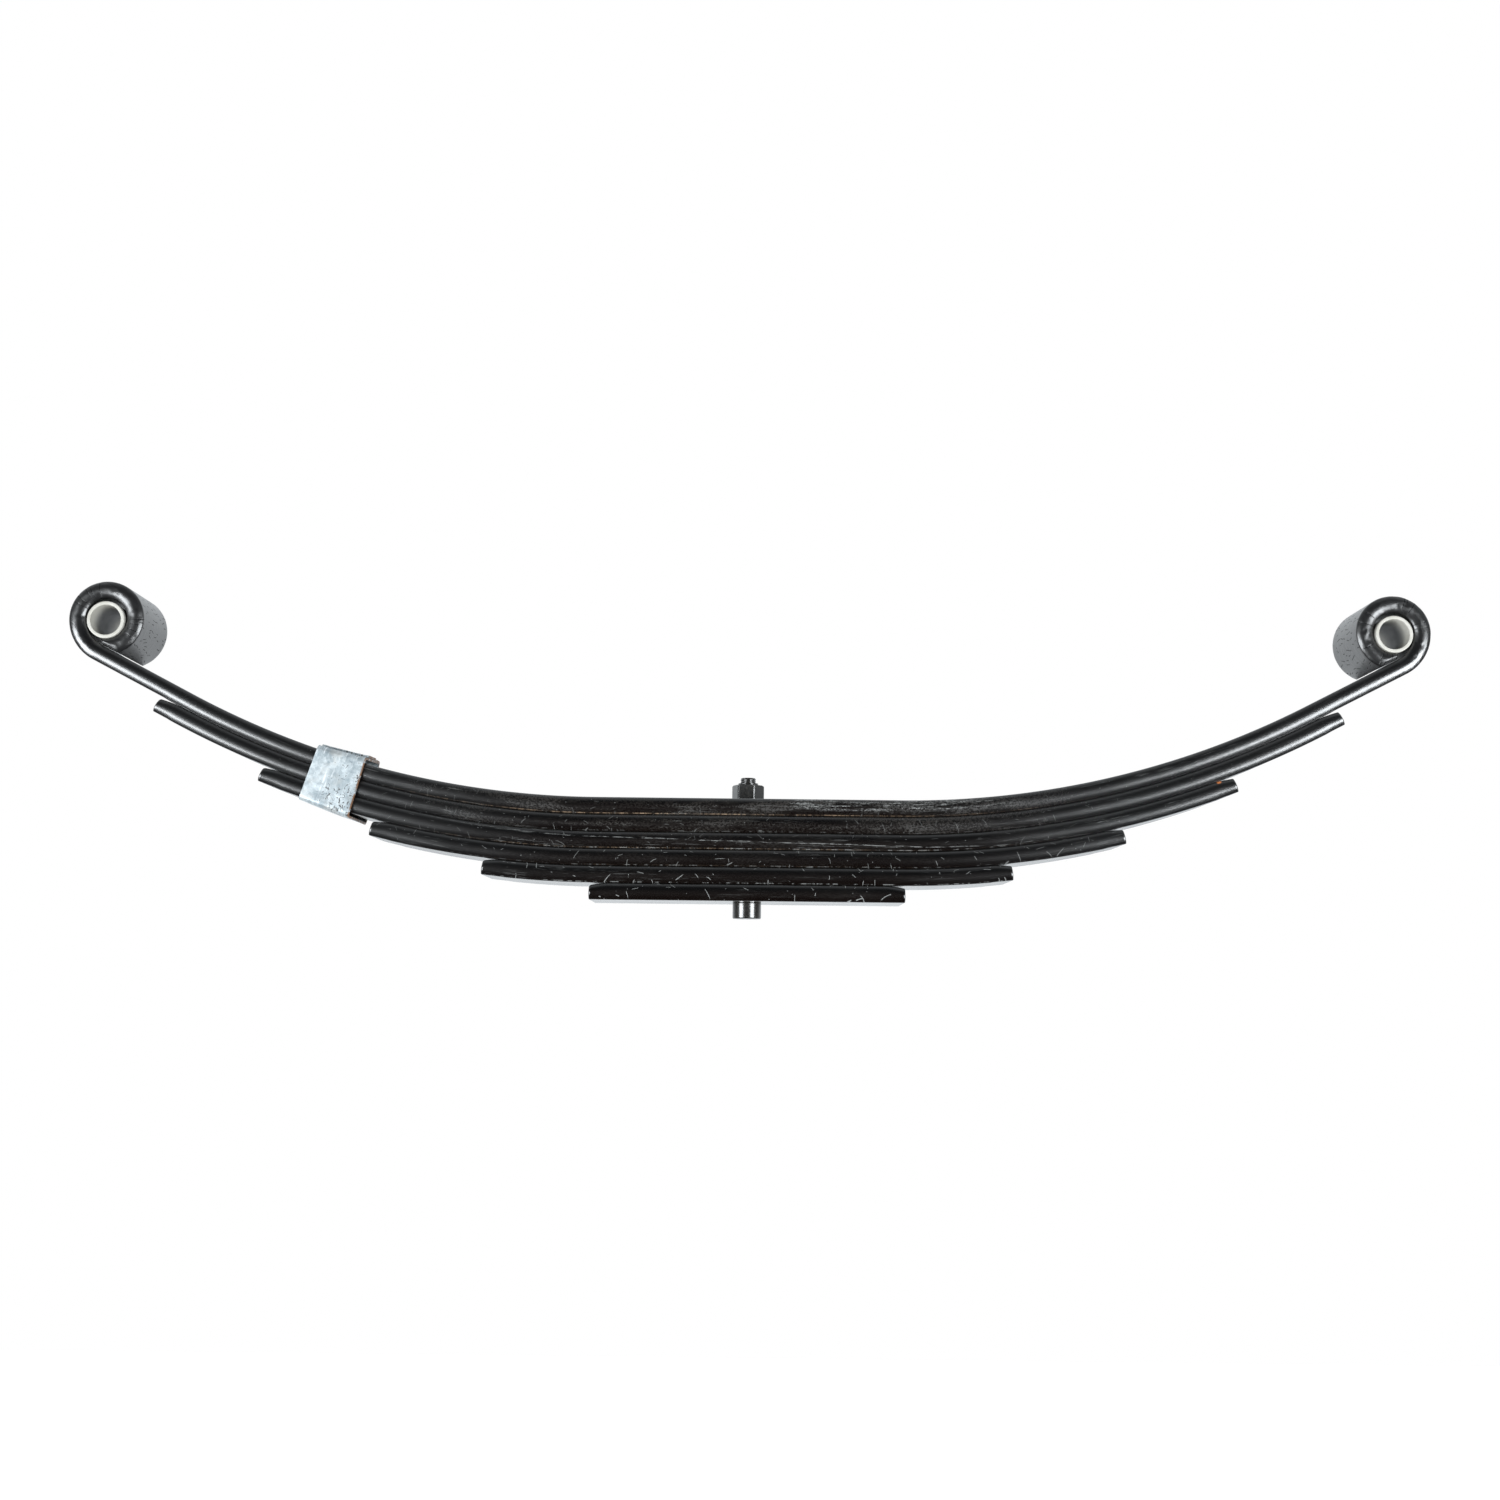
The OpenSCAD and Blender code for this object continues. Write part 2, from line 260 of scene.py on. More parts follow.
def spring_paint(name, dust, haze, seam, dashes, hair, scuff, gouge, cloud, bloom, peel, shift):
    """Gloss black enamel over a round-edge bar.

    In the stack's middle, dust browns it, haze lies on it in paler patches, seam is a rust line along its
    lower edge and dashes are chips there. hair, scuff, gouge and cloud are white marks: short curved
    scratches, thin broken lines, one long broken line and a rubbed patch on the right arm. bloom is a spot of
    rust near the leaf's right end. peel is how wrinkled the paint is, and shift moves the pattern from one
    leaf to the next."""
    g = Graph(name)
    along, across, height = g.split(g.rest())
    rest = g.scaled(g.rest(), (1, 1, 1), (shift, 0, 0))
    skin = g.join(g.split(rest)[0], g.calc("ADD", across, height))
    reach = g.calc("ABSOLUTE", along)
    middle = g.band(reach, 0.2, 0.05)
    grain = g.noise(g.scaled(rest, (900, 1300, 1300)), 1.0, 3, 0.75)
    streaks = g.noise(g.scaled(rest, (18, 260, 420)), 1.0, 5, 0.65)
    patches = g.noise(g.scaled(rest, (22, 30, 90)), 1.0, 3, 0.6, 0.6)

    dusty = g.product(middle, dust, g.band(streaks, 0.3, 0.7), g.band(grain, 0.4, 0.62))
    hazy = g.product(middle, haze, g.band(patches, 0.44, 0.62), g.band(grain, 0.36, 0.6, 0.1, 1.0))
    dull = g.calc("ADD", dusty, hazy, clamp=True)
    stain = g.noise(g.scaled(rest, (90, 300, 200)), 1.0, 4, 0.7)
    lip_top = g.band(height, -0.42 * THICK, -0.44 * THICK)
    lip = g.product(lip_top, g.band(height, -0.49 * THICK, -0.47 * THICK))
    dots = g.noise(g.scaled(rest, (650, 120, 120)), 1.0, 3, 0.7)
    freckled = g.product(g.band(stain, 0.36, 0.6, 0.15, 1.0), g.band(dots, 0.44, 0.58, 0.08, 1.0))
    rusty = g.product(lip, seam, middle, freckled, g.band(along, 0.1, 0.01, 0.4, 1.0))

    hairs = g.scratches(skin, 5.5 * MM, 1.7 * MM, 0.17 * MM, 0.4, bow=150.0)
    curls = g.scratches(g.scaled(skin, (1, 1, 1), (3.1, 1.7, 0)), 9 * MM, 2.6 * MM, 0.19 * MM, 0.4, bow=110.0)
    ticks = g.product(g.calc("MAXIMUM", hairs, curls), hair, g.band(reach, 0.24, 0.1, 0.15, 1.0))
    lines = g.noise(g.scaled(rest, (70, 700, 1500)), 1.0, 4, 0.7)
    where = g.noise(g.scaled(rest, (14, 20, 160)), 1.0, 2, 0.5)
    fewer = g.band(reach, 0.3, 0.12, 0.3, 1.0)
    scuffs = g.product(g.band(lines, 0.56, 0.68), g.band(where, 0.5, 0.62), scuff, fewer)
    breaks = g.noise(g.scaled(rest, (210, 900, 900)), 1.0, 4, 0.75)
    sway = g.calc("MULTIPLY_ADD", g.noise(g.scaled(rest, (30, 1, 1)), 1.0, 1), 2.2 * MM, -0.9 * MM)
    sunk = g.calc("ABSOLUTE", g.calc("ADD", g.calc("MULTIPLY_ADD", along, 0.022, height), sway))
    long_line = g.product(g.band(sunk, 0.28 * MM, 0.1 * MM), g.band(breaks, 0.44, 0.58), middle, gouge)
    broken = g.noise(g.scaled(rest, (330, 60, 60)), 1.0, 3, 0.7)
    chips = g.product(lip, g.band(broken, 0.5, 0.6), middle, dashes)
    flecks = g.product(g.specks(rest, 2.4 * MM, 0.26 * MM, 0.45), g.band(reach, 0.3, 0.12, 0.1, 0.7))
    upper = g.band(height, -0.3 * THICK, 0.0)
    patch = g.product(g.band(along, 0.012, 0.03), g.band(along, 0.15, 0.09), upper)
    rubbed = g.product(patch, cloud, g.band(lines, 0.50, 0.62), g.band(grain, 0.34, 0.62))
    marks = g.most(ticks, scuffs, long_line, chips, flecks, rubbed)

    low_half = g.product(middle, g.band(height, 0.25 * THICK, -0.1 * THICK))
    colour = g.mix(low_half, BLACK, UMBER)
    colour = g.mix(dull, colour, DUST)
    colour = g.mix(rusty, colour, RUST)
    colour = g.mix(marks, colour, CHALK)
    away = g.calc("ABSOLUTE", g.calc("SUBTRACT", along, RUST_SPOT))
    spot = g.product(g.band(away, 1.5 * MM, 0.5 * MM), g.band(height, 0.32 * THICK, 0.42 * THICK), bloom)
    colour = g.mix(g.product(spot, g.band(across, 0.0, -0.3 * WIDTH)), colour, ORANGE)
    on_roll = g.band(reach, 0.352, 0.37)
    sheen = g.calc("ADD", g.band(middle, 0.0, 1.0, 0.36, 0.28), g.product(on_roll, 0.08))
    rough = g.calc("ADD", sheen, g.product(g.most(dull, marks, rusty), 0.22))
    rough = g.calc("ADD", rough, g.product(g.calc("SUBTRACT", patches, 0.5), 0.10), clamp=True)
    coat = g.calc("SUBTRACT", rough, 0.12)
    cracks = g.scratches(g.join(across, along), 3.4 * MM, 3.4 * MM, 0.26 * MM, 0.65, 0.5, 40.0)
    cracks = g.product(cracks, on_roll)
    whole = g.calc("MULTIPLY_ADD", cracks, -0.75, 1.0)
    body = g.calc("SUBTRACT", g.band(on_roll, 0.0, 1.0, 0.5, 0.3), g.product(middle, 0.2))

    outer = g.product(g.band(reach, 0.2, 0.36, 0.3, 1.0), g.band(along, -0.1, 0.1, 0.3, 1.0))
    wrinkles = g.noise(g.scaled(rest, (210, 330, 330)), 1.0, 3, 0.55)
    normal = g.bump(g.product(wrinkles, outer, peel), 0.12 * MM)
    fine = g.noise(g.scaled(rest, (1100, 1500, 1500)), 1.0, 2, 0.6)
    normal = g.bump(g.product(fine, outer, peel), 0.014 * MM, normal)
    rings = g.noise(g.scaled(rest, (140, 900, 140)), 1.0, 4, 0.65)
    normal = g.bump(g.calc("SUBTRACT", g.product(on_roll, rings), cracks), 0.07 * MM, normal)
    normal = g.bump(g.product(marks, -1.0), 0.02 * MM, normal)
    gloss = dict(GLOSS, Coat_Weight=whole, Coat_Roughness=coat, Specular_IOR_Level=g.product(whole, body))
    return g.finish(Base_Color=colour, Roughness=rough, Normal=normal, Coat_Normal=normal, **gloss)


def fastener_paint(name):
    """Gloss black enamel over a forged, threaded fastener, with dust in its speckled skin."""
    g = Graph(name)
    rest = g.rest()
    mottle = g.noise(rest, 520, 4, 0.65)
    grime_and_painted_shade = g.band(g.noise(rest, 1300, 4, 0.75), 0.45, 0.66)
    colour = g.mix(g.product(grime_and_painted_shade, 0.8), (0.002, 0.002, 0.002, 1), (0.028, 0.024, 0.018, 1))
    chips = g.specks(rest, 2.0 * MM, 0.18 * MM, 0.35)
    colour = g.mix(g.product(chips, 0.6), colour, CHALK)
    rough = g.band(mottle, 0.3, 0.7, 0.3, 0.42)
    normal = g.bump(mottle, 0.03 * MM)
    gloss = dict(GLOSS, Coat_Roughness=0.17)
    return g.finish(Base_Color=colour, Roughness=rough, Normal=normal, Coat_Normal=normal, **gloss)


def clip_zinc(name):
    """Dull zinc plate: cloudy crystals, rubbed bright streaks, dark flecks and a browned cut edge.
    Its rest coordinates are the distance along the arm, the distance round the clip and 1 on the cut edge."""
    g = Graph(name)
    rest = g.rest()
    along, around, edge = g.split(rest)
    flat = g.join(along, around)
    clouds = g.noise(flat, 110, 5, 0.65, 0.5)
    blotch = g.noise(g.scaled(flat, (1, 1, 1), (0.3, 0.1, 0)), 420, 4, 0.7, 1.0)
    tone = g.calc("ADD", g.product(clouds, 0.6), g.product(blotch, 0.4))
    colour = g.mix(g.band(tone, 0.38, 0.62), (0.30, 0.355, 0.385, 1), (0.58, 0.635, 0.66, 1))
    streaks = g.noise(g.scaled(flat, (420, 50, 1)), 1.0, 4, 0.7)
    colour = g.mix(g.band(streaks, 0.55, 0.7, 0, 0.75), colour, (0.84, 0.88, 0.90, 1))
    warm = g.band(g.noise(flat, 95, 3, 0.6), 0.5, 0.66, 0, 0.35)
    colour = g.mix(warm, colour, (0.50, 0.48, 0.44, 1))
    flecks = g.scratches(flat, 3.2 * MM, 1.4 * MM, 0.2 * MM, 0.4, 1.2, 60.0)
    toward_rim = g.band(along, 0.35 * CLIP_WIDTH, 0.85 * CLIP_WIDTH, 0.0, 0.10)
    toward_top = g.band(around, FRONT_TAB + 16 * MM, FRONT_TAB + 6 * MM, 0.0, 0.08)
    limit = g.calc("ADD", toward_rim, toward_top)
    dark_blotch = g.band(g.calc("SUBTRACT", blotch, limit), 0.53, 0.57)
    grit = g.product(dark_blotch, g.band(clouds, 0.38, 0.46))
    flecks = g.product(flecks, g.band(limit, 0.12, 0.02, 0.15, 1.0))
    flecks = g.most(flecks, g.specks(flat, 2.0 * MM, 0.25 * MM, 0.35), grit)
    colour = g.mix(g.product(flecks, 0.9), colour, (0.02, 0.02, 0.02, 1))
    cut = g.calc("MAXIMUM", edge, g.band(along, 0.9 * MM, 0.35 * MM))
    browned = g.product(cut, g.band(g.noise(flat, 350, 3, 0.6), 0.34, 0.5))
    colour = g.mix(browned, colour, (0.12, 0.055, 0.022, 1))
    rough = g.band(clouds, 0.25, 0.75, 0.36, 0.52)
    normal = g.bump(clouds, 0.10 * MM)
    normal = g.bump(g.calc("SUBTRACT", blotch, flecks), 0.04 * MM, normal)
    metal = g.band(g.most(flecks, browned), 0.2, 0.6, 0.55, 0.1)
    return g.finish(Base_Color=colour, Roughness=rough, Metallic=metal, Normal=normal)


def bushing_nylon(name):
    """Off-white moulded nylon, a little waxy, with faint turning marks and specks of black paint. Deep in the
    bore it is painted with shade, darker away from both lips."""
    g = Graph(name)
    rest = g.rest()
    run, depth, rise = g.split(rest)
    clouds = g.noise(rest, 120, 3, 0.6)
    colour = g.mix(g.band(clouds, 0.3, 0.7), (0.35, 0.34, 0.30, 1), (0.42, 0.41, 0.375, 1))
    # Painted shade: the bore is darkened to a dark bluish grey towards its middle, clean near both lips.
    radius = g.calc("SQRT", g.calc("ADD", g.product(run, run), g.product(rise, rise)))
    in_bore = g.band(radius, BUSHING_BORE + 0.3 * MM, BUSHING_BORE + 0.05 * MM)
    off_middle = g.calc("ABSOLUTE", depth)
    grime_and_painted_shade = g.product(in_bore, g.band(off_middle, 0.9 * BUSHING_HALF, 0.1 * BUSHING_HALF, 0.0, 0.93))
    colour = g.mix(grime_and_painted_shade, colour, (0.045, 0.050, 0.060, 1))
    soot = g.specks(rest, 2.6 * MM, 0.18 * MM, 0.12)
    colour = g.mix(g.product(soot, 0.5), colour, (0.05, 0.05, 0.05, 1))
    rings = g.noise(g.scaled(rest, (60, 500, 60)), 1.0, 2, 0.5)
    rough = g.band(clouds, 0.3, 0.7, 0.42, 0.52)
    normal = g.bump(rings, 0.008 * MM)
    return g.finish(Base_Color=colour, Roughness=rough, Normal=normal)


# ---------------------------------------------------------------- meshes
def mesh_piece(name, points, faces, rest, material, sharp_angle=38):
    """A mesh object with smooth faces, sharp where they meet at more than sharp_angle degrees. It holds each
    vertex's rest coordinates for its material."""
    mesh = bpy.data.meshes.new(name)
    mesh.from_pydata([tuple(p) for p in points], [], [tuple(f) for f in faces])
    mesh.validate()
    attribute = mesh.attributes.new("rest", "FLOAT_VECTOR", "POINT")
    attribute.data.foreach_set("vector", np.asarray(rest, np.float32).ravel())
    mesh.materials.append(material)
    mesh.shade_smooth()
    mesh.set_sharp_from_angle(angle=math.radians(sharp_angle))
    piece = bpy.data.objects.new(name, mesh)
    bpy.context.scene.collection.objects.link(piece)
    return piece


def tube_faces(rings, count, closed=False):
    """Quads that join each ring of count points to the next."""
    faces = []
    last = rings if closed else rings - 1
    for i in range(last):
        a, b = i * count, (i + 1) % rings * count
        for j in range(count):
            k = (j + 1) % count
            faces.append((a + j, a + k, b + k, b + j))
    return faces


def capped_faces(rings, count):
    """The quads of an open tube, with a face over each end."""
    faces = tube_faces(rings, count)
    faces.append(tuple(reversed(range(count))))
    faces.append(tuple(range((rings - 1) * count, rings * count)))
    return faces


def arc_points(centre, radius, start, end, count):
    """count points on an arc, from the angle start to the angle end."""
    angles = np.linspace(start, end, count)
    return [(centre[0] + radius * math.cos(a), centre[1] + radius * math.sin(a)) for a in angles]


def bar_section():
    """The round-edge bar's outline, as (across, height) points round it from the middle of its upper face."""
    inner = WIDTH / 2 - EDGE_RADIUS
    rise = THICK / 2 - EDGE_FILLET
    reach = math.sqrt((EDGE_RADIUS - EDGE_FILLET) ** 2 - rise**2)
    turn = math.atan2(rise, reach)
    edge = arc_points((inner + reach, rise), EDGE_FILLET, math.pi / 2, turn, 6)
    edge += arc_points((inner, 0), EDGE_RADIUS, turn, -turn, 15)[1:-1]
    edge += arc_points((inner + reach, -rise), EDGE_FILLET, -turn, -math.pi / 2, 6)
    flat = inner + reach
    across = [x * flat for x in np.linspace(-0.9, 0.9, 13)]
    top = [(y, THICK / 2) for y in across]
    bottom = [(y, -THICK / 2) for y in reversed(across)]
    return top + edge + bottom + [(-y, h) for y, h in reversed(edge)]


def trace(segments, rolled_from=math.inf):
    """Follows the bar's middle line from the spring's centre: straight lengths and arcs that turn upwards.
    segments holds (length, None) or (radius, angle). Stations lie closer together in the segments that start
    at the distance rolled_from or later. Returns rows of x, z, heading and distance."""
    x, z, heading, distance = 0.0, STACK_TOP - THICK / 2, 0.0, 0.0
    rows = [(x, z, heading, distance)]
    for size, angle in segments:
        length = size if angle is None else size * angle
        step = ARM_STEP if distance < rolled_from else ROLL_STEP
        steps = max(2, math.ceil(length / step))
        for i in range(1, steps + 1):
            part = i / steps
            if angle is None:
                run = size * part
                row = (x + run * math.cos(heading), z + run * math.sin(heading), heading, distance + run)
            else:
                turned = heading + angle * part
                chord_x = size * (math.sin(turned) - math.sin(heading))
                chord_z = size * (math.cos(heading) - math.cos(turned))
                row = (x + chord_x, z + chord_z, turned, distance + length * part)
            rows.append(row)
        x, z, heading, distance = rows[-1]
    return np.array(rows)


def rounding(distance, radius):
    """How far a surface has dropped, this far from an end whose corner is round."""
    left = np.clip(radius - distance, 0, radius)
    return radius - np.sqrt(np.maximum(radius**2 - left**2, 0))


def sweep_bar(name, rows, low_side, high_side, inset, side, drop, material, forged_from=None):
    """Sweeps the bar's section along rows. low_side and high_side are the faces' heights about the middle
    line, inset narrows the bar, side is -1 or 1 for the left or right arm and drop lowers the leaf in the
    stack. The bar is forged past the distance forged_from, where that is given."""
    section = np.array(bar_section())
    count = len(section)
    share = section[:, 1] / THICK + 0.5
    height = low_side[:, None] + share[None, :] * (high_side - low_side)[:, None]
    across = np.sign(section[:, 0]) * np.maximum(np.abs(section[None, :, 0]) - inset[:, None], 0)
    sine, cosine = np.sin(rows[:, 2])[:, None], np.cos(rows[:, 2])[:, None]
    x = rows[:, 0][:, None] - sine * height
    z = rows[:, 1][:, None] + cosine * height - drop
    points = np.stack([side * x, across, z], axis=-1).reshape(-1, 3)
    along = np.repeat(rows[:, 3], count) * side
    rest = np.stack([along, across.ravel(), height.ravel()], axis=-1)
    if forged_from is not None:
        flat = np.zeros_like(height)
        normal = np.stack([flat - side * sine, flat, flat + cosine], axis=-1).reshape(-1, 3)
        points = forge(points, rest, normal, forged_from)
    faces = capped_faces(len(rows), count)
    if side > 0:
        faces = [tuple(reversed(f)) for f in faces]
    return mesh_piece(name, points, faces, rest, material)


def end_rows(rows):
    """Adds stations close to the bar's end, where its corners are round."""
    end = rows[-1]
    shares = np.array([1.0, 0.85, 0.7, 0.55, 0.42, 0.31, 0.22, 0.15, 0.09, 0.045, 0.015])
    extra = end[3] - END_LENGTH * shares
    keep = rows[rows[:, 3] < end[3] - END_LENGTH * 1.05]
    filled = [[np.interp(s, rows[:, 3], rows[:, i]) for i in range(4)] for s in extra]
    return np.vstack([keep, filled, end])


def side_word(side):
    return "left" if side < 0 else "right"


def short_half(leaf, side, material):
    """One arm of a shorter leaf, from the centre bolt to its sheared end."""
    number = LEAVES.index(leaf)
    drop = number * PITCH
    middle = BEND_RADIUS + drop + THICK / 2
    outer = middle + THICK / 2
    reach = REACH[leaf]
    if number == len(LEAVES) - 1:
        segments = [(reach, None)]
    else:
        bend = min(SLOPE, math.asin((reach - FLAT_HALF) / outer))
        run = (reach - FLAT_HALF - outer * math.sin(SLOPE)) / math.cos(SLOPE)
        segments = [(FLAT_HALF, None), (middle, bend)]
        if run > 0:
            segments.append((run, None))
    rows = end_rows(trace(segments))
    left = rows[-1, 3] - rows[:, 3]
    corner = LEFT_CORNER if side < 0 else RIGHT_CORNER
    relief = RELIEF_DEPTH * np.clip(1 - left / RELIEF_LENGTH, 0, 1) ** 1.3
    high_side = THICK / 2 - relief - rounding(left, corner)
    low_side = -THICK / 2 + rounding(left, SHEAR_ROUND)
    if number < len(LEAVES) - 1:
        low_side[left > RELIEF_LENGTH] -= PAINT_FILL
    inset = rounding(left, 0.8 * MM)
    name = f"{leaf}_{side_word(side)}"
    return sweep_bar(name, rows, low_side, high_side, inset, side, drop, material)


def main_half(side, material):
    """One arm of the main leaf, from the centre bolt to the end of its rolled eye."""
    middle = THICK / 2
    eye_middle = EYE_BORE + middle
    segments = [
        (FLAT_HALF, None),
        (BEND_RADIUS + middle, SLOPE),
        (ARM_LENGTH + LEAD_U, None),
        (LEAD_RADIUS - middle, LEAD_END + math.pi / 2),
        (eye_middle, ROLL_END - LEAD_END),
    ]
    arm_end = FLAT_HALF + (BEND_RADIUS + middle) * SLOPE + ARM_LENGTH + LEAD_U
    rows = trace(segments, arm_end - 1 * MM)
    angle = rows[:, 2] - SLOPE - math.pi / 2
    below = np.maximum(-np.sin(angle), 1e-6)
    rolled = angle > math.pi
    room = np.where(rolled, (EYE_LIFT - ROLL_GAP) / below - eye_middle, middle)
    low_side = -np.minimum(middle, room)
    left = rows[-1, 3] - rows[:, 3]
    low_side = low_side + rounding(left, SHEAR_ROUND)
    high_side = middle - rounding(left, SHEAR_ROUND)
    inset = rounding(left, 0.7 * MM)
    low_side[rows[:, 0] < REACH["second_leaf"] - RELIEF_LENGTH] -= PAINT_FILL
    name = f"main_leaf_{side_word(side)}"
    return sweep_bar(name, rows, low_side, high_side, inset, side, 0, material, arm_end)


def forge(points, rest, normal, arm_end):
    """Hammer and scale marks on the rolled eye: its round edges are pushed in and out a little."""
    moved = points.copy()
    for i, (at, local) in enumerate(zip(points, rest)):
        grow = min(1.0, max(0.0, (abs(local[0]) - arm_end + 0.02) / 0.04))
        if grow == 0:
            continue
        edge = max(0.0, abs(local[1]) - WIDTH / 2 + EDGE_RADIUS) / EDGE_RADIUS
        if edge == 0:
            continue
        place = Vector(at) * 260
        swell = noise.fractal(place, 0.8, 2.1, 3) * 0.16 * MM
        dent = max(0.0, noise.noise(Vector(at) * 420 + Vector((7, 3, 1))) - 0.25) * 0.5 * MM
        outward = 1 if local[1] > 0 else -1
        moved[i, 1] -= outward * grow * edge * (max(0.0, -swell) + dent)
        moved[i] += normal[i] * grow * edge * swell * (1 if local[2] > 0 else -1) * 0.4
    return moved


def lathe(name, profile, centre, axis, material, count=96, wobble=None, capped=False):
    """Turns a profile of (radius, height) points round an axis, which is "Y" or "Z". The profile is closed,
    or it starts and ends on the axis where capped is true. wobble(angle, height) adds to the radius."""
    angles = np.linspace(0, math.tau, count, endpoint=False)
    points, rest = [], []
    for angle in angles:
        for radius, height in profile:
            if wobble is not None:
                radius += wobble(angle, height)
            a, b = radius * math.cos(angle), radius * math.sin(angle)
            offset = (a, height, b) if axis == "Y" else (a, b, height)
            points.append([c + o for c, o in zip(centre, offset)])
            rest.append(offset)
    faces = tube_faces(count, len(profile), closed=True)
    if capped:
        faces = [f for i, f in enumerate(faces) if i % len(profile) != len(profile) - 1]
    # The same turn runs the other way about Z, so its faces are reversed to look outwards.
    if axis == "Z":
        faces = [tuple(reversed(f)) for f in faces]
    return mesh_piece(name, points, faces, rest, material)


def bushing(name, side, material):
    """The thin nylon tube in an eye, with softly rounded lips."""
    lip = 0.35 * MM
    half = BUSHING_HALF
    profile = arc_points((BUSHING_OUTER - lip, half - lip), lip, 0, math.pi / 2, 4)
    profile += arc_points((BUSHING_BORE + lip, half - lip), lip, math.pi / 2, math.pi, 4)
    inner = [(BUSHING_BORE, y) for y in np.linspace(half - 2 * lip, 2 * lip - half, 12)]
    outer = [(BUSHING_OUTER, y) for y in np.linspace(2 * lip - half, half - 2 * lip, 12)]
    profile += inner + [(r, -y) for r, y in reversed(profile)] + outer
    return lathe(name, profile, (side * EYE_X, 0, EYE_Z), "Y", material)


def strip_ring(low, high, cells=14):
    """A ring round a flat strip from low to high along the arm: its outer face, marked 1, then its inner one,
    marked -1."""
    steps = np.concatenate([[0.0, 0.012], np.linspace(0.05, 0.95, cells), [0.988, 1.0]])
    outer = [(low + (high - low) * t, 1) for t in steps]
    return outer + [(v, -1) for v, _ in reversed(outer)]


def strap_path():
    """The middle of the clip's sheet round three leaves, from the end of its front tab. Each row holds the
    place across, the depth below the main leaf's upper face, the outward direction in the same two and the
    distance."""
    wall = CLIP_HALF + CLIP_SHEET / 2
    top = -TAB_GAP - CLIP_SHEET / 2
    bottom = CLIP_DEPTH + CLIP_SHEET / 2
    bend = CLIP_BEND
    rear_top = top - CLIP_SHEET - FOLD_GAP
    rows = [(FRONT_TAB - CLIP_HALF - CLIP_SHEET, top, 0, -1)]
    corners = (
        (-wall + bend, top + bend, -math.pi / 2, -math.pi),
        (-wall + bend, bottom - bend, math.pi, math.pi / 2),
        (wall - bend, bottom - bend, math.pi / 2, 0),
        (wall - bend, rear_top + bend, 0, -math.pi / 2),
    )
    for y, depth, start, end in corners:
        for angle in np.linspace(start, end, 7):
            out = math.cos(angle), math.sin(angle)
            rows.append((y + bend * out[0], depth + bend * out[1], *out))
    rows.append((CLIP_HALF + CLIP_SHEET - REAR_TAB, rear_top, 0, -1))
    fine = []
    for first, second in zip(rows, rows[1:]):
        steps = max(1, math.ceil(math.dist(first[:2], second[:2]) / (1.5 * MM)))
        for i in range(steps):
            fine.append([a + (b - a) * i / steps for a, b in zip(first, second)])
    fine.append(list(rows[-1]))
    distance = 0.0
    for i, row in enumerate(fine):
        distance += math.dist(row[:2], fine[i - 1][:2]) if i else 0.0
        row.append(distance)
    return fine


def strap_clip(name, material):
    """The bent strap round the three longest leaves. Its front wall stands a little taller at the inner end,
    and its narrow rear tab lies over the wide front one."""
    span = (CLIP_WIDTH, 0.0)
    narrow = (REAR_TAB_START + REAR_TAB_WIDTH, REAR_TAB_START)
    shoulder = CLIP_BEND - TAB_GAP
    rings = []
    # The rear wall narrows to its tab at a square shoulder, which needs two rings in one place.
    for row in strap_path():
        risen = row[0] > 0 and row[1] < shoulder and row[3] < 0.5 and row[4] > 0.1
        if risen and rings and rings[-1][1] == span:
            rings.append((row, span))
        rings.append((row, narrow if risen else span))
    points, rest = [], []
    for (y, depth, out_y, out_depth, distance), (far, near) in rings:
        for along, face in strip_ring(near, far):
            inner = 1 - along / CLIP_WIDTH
            flare = inner * (-CLIP_FLARE_ABOVE if depth < CLIP_DEPTH / 2 else CLIP_FLARE_BELOW)
            tab = max(0.0, min(1.0, (y + CLIP_HALF) / FRONT_TAB)) if depth < 0 else 0.0
            arch = TAB_ARCH * tab * inner**1.5
            wave = noise.noise(Vector((along * 120, distance * 90, 3.7))) * SHEET_WAVE
            off = face * CLIP_SHEET / 2 + wave
            radius = BEND_RADIUS + depth + flare - arch + out_depth * off
            angle = CLIP_ANGLE + (along - CLIP_WIDTH / 2) / CLIP_MIDDLE
            spread = y + out_y * off
            x = -FLAT_HALF - radius * math.sin(angle)
            z = BEND_CENTRE_Z - radius * math.cos(angle)
            points.append((x, spread, z))
            rest.append((along, distance, 1.0 if along <= near + 1e-6 else 0.0))
    count = len(points) // len(rings)
    faces = capped_faces(len(rings), count)
    return mesh_piece(name, points, faces, rest, material)


def thread_wave(angle, height, pitch):
    """A rounded thread form, from 0 in its root to 1 on its crest."""
    turn = (height / pitch - angle / math.tau) % 1.0
    return 0.5 - 0.5 * math.cos(math.tau * turn)


